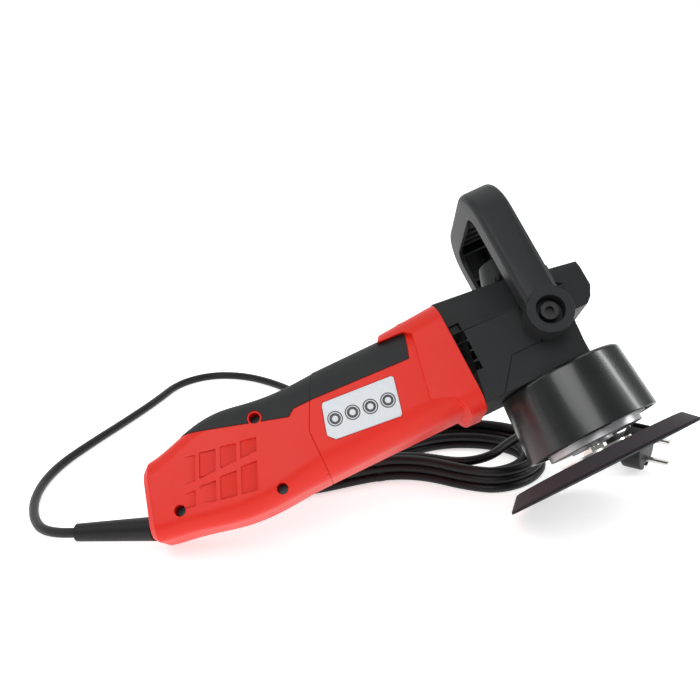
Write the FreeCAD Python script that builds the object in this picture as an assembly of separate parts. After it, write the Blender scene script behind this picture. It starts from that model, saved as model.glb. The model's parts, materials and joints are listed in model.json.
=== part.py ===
import FreeCAD, Part
import math
import os

# Dual action polisher, in millimetres.
# The tool is modelled upright in its own frame: Z up along the spindle, X from the handle towards the
# head, the underside of the hook face at Z = 0 and the spindle axis at X = Y = 0. At the end every
# piece is turned into the resting pose, in which the tool leans back on its plate's rim and its heel.

V = FreeCAD.Vector

# ---- driving dimensions -------------------------------------------------------------------------
motor_axis_z = 118.0            # height of the motor axis over the hook face
orbit_offset = 4.0              # distance between the spindle axis and the plate's axis
running_gap = 0.05              # radial clearance of every running fit

plate_radius = 76.2
plate_top_radius = 67.0
plate_top_z = 11.0
hook_thickness = 1.6
plate_hole_radius = 9.0
hub_disc_radius = 28.0
hub_disc_thickness = 2.5

shroud_top_radius = 48.0
shroud_rim_radius = 51.5
shroud_rim_z = 25.0
shroud_wall = 3.0
shroud_hole_radius = 22.0
head_bottom_z = 77.0
head_half_width = 34.0
head_rear_x = -66.0
head_nose_radius = 28.5
head_top_rear_z = 162.5
head_top_front_z = 151.5
cover_top_z = 100.0
handle_bolt_z = 113.0
boss_radius = 15.0
boss_reach = 42.0               # half distance between the two faces that the front handle sits on

barrel_half_width = 35.0
barrel_low_z = 79.0
barrel_high_z = 155.3
barrel_corner = 20.0
barrel_wall = 2.6
collar_half_width = 37.8
collar_low_z = 73.0
collar_high_z = 161.5
grip_depth = 1.6                # how deep the soft skins are let into the shells
grip_proud = 0.4                # how far they stand out of them
label_depth = 0.25
label_proud = 0.15
seam_x = -188.3                 # where the rear handle meets the motor housing, low down
seam_bend_z = 114.0             # above this height the joint face leans forward
seam_slope = 0.486              # how far it leans forward per unit of height
rear_slope = 0.27               # lean of the rear handle's sections and of its end face

rear_wall = 3.4
pocket_depth = 2.2
heel_x = -314.0                 # end of the rear handle, on the motor axis
well_radius = 4.0
handle_screws = [(-293.5, 104.0), (-222.5, 86.5), (-219.5, 140.5)]

handle_width = 27.0             # front handle, along X
handle_depth = 19.0             # front handle, from its skin to the hand
handle_half_span = 62.0
handle_top_z = 225.5
handle_corner = 31.0
handle_skin = 3.2
handle_end_radius = 17.0
counterbore_radius = 10.5
counterbore_depth = 12.0
handle_bolt_radius = 4.0
handle_bolt_length = 21.5

cord_radius = 3.8
sleeve_root_radius = 9.0
sleeve_end_radius = 6.7
lean = 36.5                     # how far the resting tool leans back, in degrees
gap = 0.02                      # play of a screw in its hole

# bevel gears, bearings (outer radius, shaft radius, first and last face) and spindle
crown_radius = 24.0
pinion_radius = 8.0
tooth_length = 8.5
spindle_radius = 6.0
chamber_radius = 27.5
fan_chamber_radius = 31.0
top_bearing = (13.0, 6.0, 141.0, 150.0)       # outer radius, shaft radius, first and last face
low_bearing = (16.0, 7.5, 83.0, 93.0)
front_bearing = (13.0, 4.5, -47.0, -37.0)
rear_bearing = (11.0, 4.0, -181.0, -174.0)
bearing_lip = 2.0
cone_length = math.hypot(crown_radius, pinion_radius)
root_drop = 1.85 / cone_length

# places of the screws: (height, y) behind the head, (x, y) under it
housing_screw_places = [(z, y) for z in (87.5, 148.5) for y in (-19.5, 19.5)]
cover_screw_places = [(10.0, 29.2), (10.0, -29.2), (-25.0, 28.0), (-25.0, -28.0)]
shroud_screw_places = [(24.0, 0.0), (0.0, 25.5), (0.0, -25.5), (-25.5, 0.0)]

# motor
core_low = -138.0
core_high = -88.0
core_radius = 23.0
air_gap = 0.9
commutator = (-165.0, -152.0, 11.5)
fan_low = -63.5
fan_high = -54.5
fan_radius = 28.5
brush_x = -158.5
brush_outer = 26.0
spring_radius = 2.2
spring_wire = 0.35

# sections of the rear handle: place along X, lowest and highest height, half width, corner radius
rear_stations = [(-150.0, 79.0, 155.0, 35.0, 20.0), (-180.0, 79.0, 154.6, 34.8, 19.0),
                 (-200.0, 78.5, 153.4, 34.2, 17.0), (-218.0, 77.6, 153.8, 33.6, 15.0),
                 (-236.0, 78.0, 156.2, 33.0, 14.0), (-254.0, 80.6, 158.4, 32.5, 13.0),
                 (-270.0, 84.2, 157.0, 32.0, 12.0), (-288.0, 87.8, 152.0, 31.4, 12.0),
                 (-309.5, 91.6, 146.6, 31.0, 12.0)]
rear_end_bevel = 4.5

# speed dial and switch
dial_radius = 13.0
dial_x = -301.0
dial_y = 12.0
dial_z = 130.0
switch_x = -207.0
switch_z = 118.0
switch_travel = 7.0
switch_face_y = 34.6

# eccentric: bearings (outer radius, shaft radius) and carrier
eccentric_bearing = (13.0, 5.0)
carrier_radius = 16.5
carrier_low = 18.0
carrier_high = 46.0

# flex: sleeve in the tool's frame, the rest in the frame of the surface that the tool rests on
sleeve_root = V(-318.9, 0, 105.0)
sleeve_tip = V(-375.0, 16.0, 130.5)
cord_low_z = cord_radius
lead_points = [(-250, 50, 7.5), (-263, 89, cord_low_z), (-262, 134, cord_low_z), (-246, 179, cord_low_z),
               (-216, 221, cord_low_z), (-184, 262, cord_low_z), (-152, 306, cord_low_z),
               (-128, 346, cord_low_z), (-92, 361, cord_low_z), (-57, 347, cord_low_z),
               (-30, 315, cord_low_z), (-10, 275, cord_low_z), (-4, 230, cord_low_z),
               (-14, 188, cord_low_z), (-40, 152, cord_low_z), (-72, 122, cord_low_z)]
tail_points = [(140, 84, 14.0), (163, 71, 14.0), (184, 60, 16.5)]
hank_outline = [(-104, 92), (-84, 70), (-38, 63), (19, 70), (52, 61), (78, 31), (104, 17), (136, 25), (158, 50),
                (159, 82), (134, 112), (92, 127), (50, 114), (19, 100), (-38, 116), (-84, 118)]
hank_height = 21.0
tie_x = 19.0
tie_width = 6.0
plug_face = V(237.0, 21.0, 19.4)
plug_radius = 19.0
plug_length = 42.0
plug_turn = -50.0               # heading of the pins, in degrees from the row's X axis
pin_radius = 2.4
pin_length = 19.0
pin_spacing = 19.0
plug_roll = 90.0                # how far the line of the two pins is turned up from level


# ---- plain shapes -------------------------------------------------------------------------------
def box(x_low, x_high, y_low, y_high, z_low, z_high):
    return Part.makeBox(x_high - x_low, y_high - y_low, z_high - z_low, V(x_low, y_low, z_low))


def rod_x(radius, x_low, x_high, y=0.0, z=motor_axis_z):
    return Part.makeCylinder(radius, x_high - x_low, V(x_low, y, z), V(1, 0, 0))


def rod_y(radius, y_low, y_high, x=0.0, z=handle_bolt_z):
    return Part.makeCylinder(radius, y_high - y_low, V(x, y_low, z), V(0, 1, 0))


def rod_z(radius, z_low, z_high, x=0.0, y=0.0):
    return Part.makeCylinder(radius, z_high - z_low, V(x, y, z_low), V(0, 0, 1))


def cone_z(radius_low, radius_high, z_low, z_high, x=0.0, y=0.0):
    return Part.makeCone(radius_low, radius_high, z_high - z_low, V(x, y, z_low), V(0, 0, 1))


def prism_y(outline, y_low, y_high):
    points = [V(x, y_low, z) for x, z in outline]
    face = Part.Face(Part.makePolygon(points + points[:1]))
    return face.extrude(V(0, y_high - y_low, 0))


def prism_x(outline, x_low, x_high):
    points = [V(x_low, y, z) for y, z in outline]
    face = Part.Face(Part.makePolygon(points + points[:1]))
    return face.extrude(V(x_high - x_low, 0, 0))


def rounded_wire(x, half_width, z_low, z_high, corner):
    y_in = half_width - corner
    low = z_low + corner
    high = z_high - corner
    turn = corner * math.sqrt(0.5)
    edges = []
    for y_side, z_side, y_mid, z_mid in ((1, 1, y_in, high), (-1, 1, -y_in, high),
                                         (-1, -1, -y_in, low), (1, -1, y_in, low)):
        flat = V(x, y_mid + y_side * corner, z_mid)
        level = V(x, y_mid, z_mid + z_side * corner)
        middle = V(x, y_mid + y_side * turn, z_mid + z_side * turn)
        first, last = (flat, level) if y_side == z_side else (level, flat)
        edges.append(Part.Arc(first, middle, last).toShape())
    joined = []
    for place, arc in enumerate(edges):
        joined.append(arc)
        start = arc.Vertexes[-1].Point
        end = edges[(place + 1) % 4].Vertexes[0].Point
        joined.append(Part.LineSegment(start, end).toShape())
    return Part.Wire(joined)


def rounded_bar(x_low, x_high, half_width, z_low, z_high, corner):
    face = Part.Face(rounded_wire(x_low, half_width, z_low, z_high, corner))
    return face.extrude(V(x_high - x_low, 0, 0))


def merge(shapes):
    whole = shapes[0]
    if len(shapes) > 1:
        whole = whole.fuse(shapes[1:])
    return whole.removeSplitter()


def mirror_y(shape):
    return shape.mirror(V(0, 0, 0), V(0, 1, 0))


def ring_z(outer, inner, z_low, z_high, x=0.0):
    return rod_z(outer, z_low, z_high, x).cut(rod_z(inner, z_low - 1, z_high + 1, x))


def ring_x(outer, inner, x_low, x_high):
    return rod_x(outer, x_low, x_high).cut(rod_x(inner, x_low - 1, x_high + 1))


def screw(start, direction, length, shank, head, head_height):
    unit = V(*direction)
    stem = Part.makeCylinder(shank, length, V(*start), unit)
    cap = Part.makeCylinder(head, head_height, V(*start), V(-unit.x, -unit.y, -unit.z))
    socket = Part.makeCylinder(head * 0.5, head_height * 0.6,
                               V(*start).add(unit * (-head_height)), unit)
    return stem.fuse(cap).removeSplitter().cut(socket)


nodes = {}


# ---- front handle: a channel bent into a D, ribbed inside, on two side bosses --------------------
def bow_face(half_span, top_z, corner, foot_z):
    """Outline in the YZ plane of a bow: two legs, two round corners and a flat crossbar."""
    side = corner * math.sqrt(0.5)
    y_mid = half_span - corner
    z_mid = top_z - corner
    edges = [
        Part.LineSegment(V(0, -half_span, foot_z), V(0, -half_span, z_mid)).toShape(),
        Part.Arc(V(0, -half_span, z_mid), V(0, -y_mid - side, z_mid + side), V(0, -y_mid, top_z)).toShape(),
        Part.LineSegment(V(0, -y_mid, top_z), V(0, y_mid, top_z)).toShape(),
        Part.Arc(V(0, y_mid, top_z), V(0, y_mid + side, z_mid + side), V(0, half_span, z_mid)).toShape(),
        Part.LineSegment(V(0, half_span, z_mid), V(0, half_span, foot_z)).toShape(),
        Part.LineSegment(V(0, half_span, foot_z), V(0, -half_span, foot_z)).toShape(),
    ]
    return Part.Face(Part.Wire(edges))


def bow(inset, width, foot_z):
    face = bow_face(handle_half_span - inset, handle_top_z - inset, handle_corner - inset, foot_z)
    face.translate(V(-width / 2, 0, 0))
    return face.extrude(V(width, 0, 0))


def front_handle():
    body = bow(0, handle_width, handle_bolt_z)
    outer_edges = []
    for edge in body.Edges:
        middle = edge.valueAt((edge.FirstParameter + edge.LastParameter) / 2)
        if abs(abs(middle.x) - handle_width / 2) < 0.01 and middle.z > handle_bolt_z + 1:
            outer_edges.append(edge)
    body = body.makeFillet(5.0, outer_edges)
    hand_space = bow(handle_depth, handle_width + 2, handle_bolt_z - 1)
    body = body.cut(hand_space)
    channel = bow(handle_skin, handle_width - 2 * handle_skin, handle_bolt_z + handle_end_radius)
    channel = channel.cut(bow(handle_depth + 1, handle_width, handle_bolt_z))
    ribs = []
    rib_half = 1.0
    for side in (-1, 1):
        inner = side * (handle_half_span - handle_depth)
        outer = side * (handle_half_span - handle_skin / 2)
        for step in range(5):
            z = handle_bolt_z + handle_end_radius + 9 + 10.5 * step
            ribs.append(box(-12, 12, min(inner, outer), max(inner, outer), z - rib_half, z + rib_half))
    for step in range(5):
        y = (step - 2) * 12.0
        ribs.append(box(-12, 12, y - rib_half, y + rib_half,
                        handle_top_z - handle_depth, handle_top_z - handle_skin / 2))
    for side in (-1, 1):
        middle_y = side * (handle_half_span - handle_corner)
        rib = box(-12, 12, -rib_half, rib_half, handle_corner - handle_depth, handle_corner - 1)
        rib.rotate(V(0, 0, 0), V(1, 0, 0), -45.0 * side)
        rib.translate(V(0, middle_y, handle_top_z - handle_corner))
        ribs.append(rib)
    web = merge(ribs).common(channel)
    body = body.cut(channel).fuse(web)
    for side in (-1, 1):
        low = boss_reach if side > 0 else -handle_half_span
        end = rod_y(handle_end_radius, low, low + handle_half_span - boss_reach)
        body = body.fuse(end)
    body = body.removeSplitter()
    for side in (-1, 1):
        body = body.cut(rod_y(handle_bolt_radius + gap, -80 if side < 0 else 30, -30 if side < 0 else 80))
        seat = handle_half_span - counterbore_depth
        body = body.cut(rod_y(counterbore_radius, seat if side > 0 else -80, 80 if side > 0 else -seat))
    return body


def handle_bolts():
    bolts = []
    seat = handle_half_span - counterbore_depth - 1.6
    for side in (-1, 1):
        start = (0, side * (seat + 1.6), handle_bolt_z)
        bolts.append(screw(start, (0, -side, 0), handle_bolt_length, handle_bolt_radius, 6.5, 8.0))
    return Part.makeCompound(bolts)


# ---- gear housing -------------------------------------------------------------------------------

def head_outside():
    side = [(head_rear_x, head_bottom_z), (18, head_bottom_z),
            (25, head_top_front_z), (head_rear_x, head_top_rear_z)]
    section = [(-head_half_width, head_bottom_z), (head_half_width, head_bottom_z),
               (head_half_width, 132), (22, head_top_rear_z), (-22, head_top_rear_z),
               (-head_half_width, 132)]
    trunk = prism_y(side, -50, 50).common(prism_x(section, head_rear_x, 60))
    nose = prism_y([(10, 112), (39, 112), (43.5, 116), (48.0, 124), (48, 145.5), (10, 153)], -23, 23)
    nose_section = [(-23, 111), (23, 111), (23, 140), (15, 160), (-15, 160), (-23, 140)]
    nose = nose.common(prism_x(nose_section, 9, 60))
    barrel = rod_z(head_nose_radius, head_bottom_z, 120)
    dome = cone_z(25, 17.5, head_top_front_z - 4, 170).fuse(cone_z(17.5, 15, 170, 177))
    bosses = rod_y(boss_radius, -boss_reach, boss_reach)
    return merge([trunk, nose, barrel, dome, bosses])


def cover_region():
    outline = [(-33, cover_top_z), (-52, head_bottom_z - 1), (60, head_bottom_z - 1), (60, cover_top_z)]
    return prism_y(outline, -60, 60)


def gear_housing():
    body = head_outside().cut(cover_region())
    body = body.cut(rod_z(chamber_radius, cover_top_z - 1, 134))
    body = body.cut(rod_z(top_bearing[0], 133, top_bearing[3]))
    body = body.cut(rod_x(front_bearing[0], front_bearing[2], front_bearing[3]))
    body = body.cut(rod_x(front_bearing[0] - bearing_lip, front_bearing[3] - 1, -20))
    body = body.cut(rod_x(fan_chamber_radius, head_rear_x - 1, front_bearing[2] - 3))
    body = body.cut(rod_x(front_bearing[0] - bearing_lip, front_bearing[2] - 5, front_bearing[2] + 1))
    for side in (-1, 1):
        for level in range(5):
            z = 101 + 8.0 * level
            slot = box(-64.2, -56.5, 27 if side > 0 else -36, 36 if side > 0 else -27, z, z + 6.4)
            body = body.cut(slot)
        hole_low = 28 if side > 0 else -boss_reach - 1
        body = body.cut(rod_y(handle_bolt_radius + gap, hole_low, hole_low + boss_reach - 27))
    for z, y in housing_screw_places:
        body = body.cut(rod_x(1.8 + gap, head_rear_x - 1, head_rear_x + 12, y, z))
    for x, y in cover_screw_places:
        body = body.cut(rod_z(2.0 + gap, cover_top_z - 1, cover_top_z + 12, x, y))
    return body


def bearing_cover():
    body = head_outside().common(cover_region())
    body = body.cut(rod_z(low_bearing[0], low_bearing[2], cover_top_z + 1))
    body = body.cut(rod_z(low_bearing[0] - 4, head_bottom_z - 1, low_bearing[2] + 1))
    for x, y in cover_screw_places:
        body = body.cut(rod_z(2.0 + gap, head_bottom_z - 1, cover_top_z + 1, x, y))
        body = body.cut(rod_z(3.8, head_bottom_z - 1, head_bottom_z + 5, x, y))
    for x, y in shroud_screw_places:
        body = body.cut(rod_z(2.0 + gap, head_bottom_z - 1, head_bottom_z + 12, x, y))
    return body


def bearing(spec, make):
    outer, shaft, low, high = spec
    return make(outer, shaft + running_gap, low, high)


def housing_screws():
    made = []
    for z, y in housing_screw_places:
        made.append(screw((head_rear_x - 5, y, z), (1, 0, 0), 16.0, 1.8, 3.3, 2.8))
    return Part.makeCompound(made)


def cover_screws():
    made = []
    for x, y in cover_screw_places:
        made.append(screw((x, y, head_bottom_z + 5), (0, 0, 1), cover_top_z - head_bottom_z + 5,
                          2.0, 3.7, 3.6))
    return Part.makeCompound(made)


# ---- bevel gears --------------------------------------------------------------------------------
def bevel_teeth(axis, side, teeth, pitch_angle, cone_length, phase):
    """Straight teeth on a cone whose tip is at the crossing of the two axes: each tooth is a piece of
    a four-sided pyramid from that tip, so it tapers along its length."""
    apex = V(0, 0, motor_axis_z)
    across = axis.cross(side)
    inner_share = (cone_length - tooth_length) / cone_length
    solids = []
    for number in range(teeth):
        turn = phase + 2 * math.pi * number / teeth
        corners = []
        for lift, half in ((-1.9, 1.75), (1.2, 0.62)):
            angle = pitch_angle + lift / cone_length
            spread = half / (cone_length * math.sin(angle))
            for sign in ((-1, 1) if lift < 0 else (1, -1)):
                around = turn + sign * spread
                radial = side * math.cos(around) + across * math.sin(around)
                corners.append(axis * math.cos(angle) + radial * math.sin(angle))
        rings = []
        for share in (1.0, inner_share):
            points = [apex + corner * (cone_length * share) for corner in corners]
            rings.append(Part.makePolygon(points + points[:1]))
        solids.append(Part.makeLoft(rings, True, True))
    return solids


def turned(outline, axis_point, axis):
    """A solid of revolution from (radius, distance along the axis) points."""
    side = V(0, 1, 0)
    points = [axis_point + side * radius + axis * along for radius, along in outline]
    face = Part.Face(Part.makePolygon(points + points[:1]))
    return face.revolve(axis_point, axis, 360)


def crown_gear():
    down = V(0, 0, -1)
    apex = V(0, 0, motor_axis_z)
    angle = math.atan2(crown_radius, pinion_radius)
    root = angle - root_drop
    inner_length = cone_length - tooth_length
    heel = (cone_length * math.sin(root), cone_length * math.cos(root))
    toe = (inner_length * math.sin(root), inner_length * math.cos(root))
    blank = turned([(spindle_radius, toe[1]), toe, heel, (heel[0] - 2.0, heel[1] + 5.5),
                    (14.0, heel[1] + 5.5), (14.0, heel[1] + 8.5), (spindle_radius, heel[1] + 8.5)],
                   apex, down)
    teeth = bevel_teeth(down, V(-1, 0, 0), 27, angle, cone_length, 0.0)
    return merge([blank] + teeth)


def bevel_pinion():
    back = V(-1, 0, 0)
    apex = V(0, 0, motor_axis_z)
    angle = math.atan2(pinion_radius, crown_radius)
    root = angle - root_drop
    inner_length = cone_length - tooth_length
    heel = (cone_length * math.sin(root), cone_length * math.cos(root))
    toe = (inner_length * math.sin(root), inner_length * math.cos(root))
    blank = turned([(3.0, toe[1]), toe, heel, (7.0, heel[1] + 0.5), (7.0, heel[1] + 5), (3.0, heel[1] + 5)],
                   apex, back)
    teeth = bevel_teeth(back, V(0, 0, -1), 9, angle, cone_length, math.pi / 9)
    return merge([blank] + teeth)


# ---- motor --------------------------------------------------------------------------------------

def armature_shaft():
    body = rod_x(4.5, rear_bearing[3] + 1, front_bearing[3] + 1)
    tail = rod_x(4.0, rear_bearing[2] - 0.5, rear_bearing[3] + 1)
    tip = rod_x(3.0, front_bearing[3] + 1, -15.5)
    return merge([body, tail, tip])


def armature_core():
    body = rod_x(core_radius, core_low, core_high).cut(rod_x(4.5, core_low - 1, core_high + 1))
    slot = box(core_low - 1, core_high + 1, -1.0, 1.0, motor_axis_z + core_radius - 7, motor_axis_z + 40)
    for number in range(12):
        cut = slot.copy()
        cut.rotate(V(0, 0, motor_axis_z), V(1, 0, 0), 30.0 * number)
        body = body.cut(cut)
    return body


def armature_windings():
    rear = ring_x(19.0, 4.5, core_low - 9, core_low)
    front = ring_x(19.0, 4.5, core_high, core_high + 9)
    return Part.makeCompound([rear, front])


def commutator_ring():
    low, high, radius = commutator
    body = ring_x(radius, 4.5, low, high)
    slot = box(low - 1, high + 1, -0.25, 0.25, motor_axis_z + radius - 1.2, motor_axis_z + radius + 1)
    for number in range(24):
        cut = slot.copy()
        cut.rotate(V(0, 0, motor_axis_z), V(1, 0, 0), 15.0 * number)
        body = body.cut(cut)
    return body


def cooling_fan():
    hub = ring_x(9.0, 4.5, fan_low, fan_high)
    disc = ring_x(fan_radius, 8.5, fan_low, fan_low + 1.6)
    blades = []
    for number in range(13):
        blade = box(fan_low + 1, fan_high, -0.8, 0.8, motor_axis_z + 8.5, motor_axis_z + fan_radius - 0.5)
        blade.rotate(V(0, 0, motor_axis_z + 18), V(1, 0, 0), 22)
        blade.rotate(V(0, 0, motor_axis_z), V(1, 0, 0), 360.0 * number / 13)
        blades.append(blade)
    return merge([hub, disc] + blades).common(rod_x(fan_radius, fan_low, fan_high))


def cavity_bar(x_low, x_high, play):
    inner_half = barrel_half_width - barrel_wall - play
    return rounded_bar(x_low, x_high, inner_half, barrel_low_z + barrel_wall + play,
                       barrel_high_z - barrel_wall - play, barrel_corner - barrel_wall - play)


def field_core():
    body = cavity_bar(core_low - 2, core_high + 2, 0.1).common(
        box(core_low - 3, core_high + 3, -40, 40, motor_axis_z - 32.0, motor_axis_z + 32.0))
    return body.cut(rod_x(core_radius + air_gap, core_low - 3, core_high + 3))


def field_coils():
    coils = []
    for low, high in ((core_low - 10, core_low - 2), (core_high + 2, core_high + 10)):
        full = ring_x(31.0, core_radius + 1.5, low, high)
        for side in (-1, 1):
            part = box(low - 1, high + 1, -22, 22, motor_axis_z + (3 if side > 0 else -40),
                       motor_axis_z + (40 if side > 0 else -3))
            coils.append(full.common(part))
    return Part.makeCompound(coils)


def brush_bracket():
    plate = rod_x(31.8, rear_bearing[3], rear_bearing[3] + 3.5)
    cup = rod_x(rear_bearing[0] + 2.5, rear_bearing[2], rear_bearing[3] + 3.5)
    body = merge([plate, cup])
    body = body.cut(rod_x(rear_bearing[0], rear_bearing[2] - 1, rear_bearing[3]))
    body = body.cut(rod_x(6.0, rear_bearing[3] - 1, rear_bearing[3] + 5))
    for side in (-1, 1):
        pad = box(rear_bearing[3], brush_x + 6.5, 15 if side > 0 else -31, 31 if side > 0 else -15,
                  motor_axis_z - 8.5, motor_axis_z - 5.2)
        body = body.fuse(pad)
    for angle in (45, 135, 225, 315):
        hole = rod_x(5.0, rear_bearing[3] - 2, rear_bearing[3] + 5, 22.5 * math.cos(math.radians(angle)),
                     motor_axis_z + 22.5 * math.sin(math.radians(angle)))
        body = body.cut(hole)
    return body.removeSplitter()


def on_both_sides(right):
    return Part.makeCompound([right, mirror_y(right)])


def brush_holder():
    outer = box(brush_x - 6, brush_x + 6, -31, -13.5, motor_axis_z - 5.2, motor_axis_z + 5.2)
    inner = box(brush_x - 4.6, brush_x + 4.6, -30, -12, motor_axis_z - 3.6, motor_axis_z + 3.6)
    return outer.cut(inner)


def carbon_brush():
    block = box(brush_x - 4.5, brush_x + 4.5, -brush_outer, -commutator[2] + 3, motor_axis_z - 3.5,
                motor_axis_z + 3.5)
    return block.cut(rod_x(commutator[2] + 0.1, brush_x - 6, brush_x + 6))


def brush_spring():
    coil = Part.makeHelix(1.0, 30.0 - brush_outer - 2 * spring_wire - 0.1, spring_radius)
    wire = Part.Wire(coil.Edges)
    section = Part.Wire(Part.makeCircle(spring_wire, V(spring_radius, 0, 0), V(0, 1, 0)))
    spring = wire.makePipeShell([section], True, True)
    spring.rotate(V(0, 0, 0), V(1, 0, 0), 90)
    spring.translate(V(brush_x, -brush_outer - spring_wire - 0.05, motor_axis_z))
    return spring


# ---- motor housing ------------------------------------------------------------------------------
def seam_prism(forward):
    """Everything in front of the joint face between the rear handle and the motor housing, or behind it."""
    high_x = seam_x + seam_slope * (200 - seam_bend_z)
    far = 0 if forward else -420
    return prism_y([(seam_x, 40), (seam_x, seam_bend_z), (high_x, 200), (far, 200), (far, 40)], -60, 60)


def collar_region():
    return prism_y([(head_rear_x, 60), (head_rear_x, 180), (-92, 180), (-95, 159.6), (-111, 159.2),
                    (-116, 152), (-96, 150.5), (-91, 146), (-101, 96.5), (-85, 91), (-82, 86),
                    (-77, 71), (-74, 60)], -60, 60)


def collar_bar():
    face = rounded_wire(head_rear_x, collar_half_width, collar_low_z, collar_high_z, 17.0)
    rear = rounded_wire(-118.0, collar_half_width - 2.5, collar_low_z + 3, collar_high_z - 3, 17.0)
    return Part.makeLoft([face, rear], True, True)


def grip_region():
    return prism_y([(-200, 131.5), (-178, 134.2), (-101, 130.5), (-93.5, 154.2), (-116, 155.5),
                    (-116, 180), (-200, 180)], -60, 60)


def motor_housing():
    barrel = rounded_bar(-200, head_rear_x, barrel_half_width, barrel_low_z, barrel_high_z, barrel_corner)
    collar = collar_bar().common(collar_region())
    body = merge([barrel, collar]).common(seam_prism(True))
    body = body.cut(cavity_bar(-210, -71, 0.0))
    body = body.cut(rod_x(fan_chamber_radius, -72, head_rear_x + 1))
    body = body.cut(motor_grip())
    for z, y in housing_screw_places:
        body = body.cut(rod_x(1.8 + gap, -80, head_rear_x + 1, y, z))
    return body.cut(label_plate())


def label_outline():
    return [(-172.5, 127.0), (-171.0, 128.6), (-118.5, 124.6), (-117.2, 123.0), (-123.5, 96.6),
            (-125.2, 95.2), (-174.0, 100.6), (-178.2, 105.5), (-177.8, 108.0)]


def barrel_skin(x_low, x_high, proud, depth):
    """A thin layer that follows the barrel's outside, let into it and standing a little out of it."""
    outer = rounded_bar(x_low, x_high, barrel_half_width + proud, barrel_low_z - proud,
                        barrel_high_z + proud, barrel_corner + proud)
    inner = rounded_bar(x_low - 1, x_high + 1, barrel_half_width - depth, barrel_low_z + depth,
                        barrel_high_z - depth, barrel_corner - depth)
    return outer.cut(inner)


def label_plate():
    return barrel_skin(-200, -60, label_proud, label_depth).common(prism_y(label_outline(), -60, 0))


def motor_grip():
    skin = barrel_skin(-200, -80, grip_proud, grip_depth).common(grip_region()).common(seam_prism(True))
    return skin.cut(collar_bar().common(collar_region()))


# ---- rear handle --------------------------------------------------------------------------------

def sheared(shape):
    """The shape with its upright sections leaned forward about the height of the motor axis."""
    lean_matrix = FreeCAD.Matrix()
    lean_matrix.A13 = rear_slope
    lean_matrix.A14 = -rear_slope * motor_axis_z
    return shape.transformGeometry(lean_matrix)


def rear_body(shrink):
    wires = []
    for x, z_low, z_high, half, corner in rear_stations:
        wires.append(rounded_wire(x, half - shrink, z_low + shrink, z_high - shrink,
                                  max(corner - shrink, 3.0)))
    body = Part.makeLoft(wires, True, False)
    x, z_low, z_high, half, corner = rear_stations[-1]
    end = heel_x + shrink
    bevel = rear_end_bevel
    rear = rounded_wire(end, half - shrink - bevel, z_low + shrink + bevel, z_high - shrink - bevel,
                        max(corner - shrink - 2, 3.0))
    cap = Part.makeLoft([wires[-1], rear], True, True)
    return sheared(body.fuse(cap))


def pocket_outlines():
    outlines = []
    pitch = 15.9
    width = 12.0
    lean_share = 0.41
    for column in range(4):
        left = -280.0 + pitch * column
        upper_left = 137.5 - 2.6 * column
        upper_right = upper_left - 2.4
        lower_left = 104.5 - 3.1 * column
        lower_right = lower_left - 2.3
        for top_left, top_right, foot_left, foot_right in (
                (upper_left, upper_right, 118.6, 118.6), (112.8, 112.0, lower_left, lower_right)):
            outline = [(left + lean_share * (top_left - 137), top_left),
                       (left + width + lean_share * (top_right - 137), top_right),
                       (left + width + lean_share * (foot_right - 137), foot_right),
                       (left + lean_share * (foot_left - 137), foot_left)]
            outlines.append(outline)
    return outlines


def pocket_solid(outline):
    """A wedge-shaped recess, shallow at its rear edge and deep at its front edge."""
    surface = 30.0
    rear = [outline[3], outline[0]]
    front = [outline[1], outline[2]]
    shapes = []
    start = [V(rear[0][0], -surface - 8, rear[0][1]), V(rear[1][0], -surface - 8, rear[1][1]),
             V(front[0][0], -surface - 8, front[0][1]), V(front[1][0], -surface - 8, front[1][1])]
    depth_rear = 1.9
    depth_front = 1.9 - pocket_depth + 0.4
    floor = [V(rear[0][0], -surface - depth_rear, rear[0][1]),
             V(rear[1][0], -surface - depth_rear, rear[1][1]),
             V(front[0][0], -surface - depth_front, front[0][1]),
             V(front[1][0], -surface - depth_front, front[1][1])]
    shapes.append(Part.makePolygon(start + start[:1]))
    shapes.append(Part.makePolygon(floor + floor[:1]))
    return Part.makeLoft(shapes, True, True)


def rear_grip_region():
    return prism_y([(-277, 170), (-277, 154.6), (-266, 151.8), (-197, 130.2), (-191.5, 134.2), (-150, 134.2),
                    (-150, 190), (-277, 190)], -60, 60)


def half_space(side):
    return box(-420, 0, 0 if side > 0 else -80, 80 if side > 0 else 0, 0, 250)


def rear_skin():
    outer = rear_body(-grip_proud)
    inner = rear_body(grip_depth)
    skin = outer.cut(inner).common(rear_grip_region()).common(seam_prism(False))
    x, z = handle_screws[2]
    return skin.cut(rod_y(5.4, -60, 60, x, z))


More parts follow.
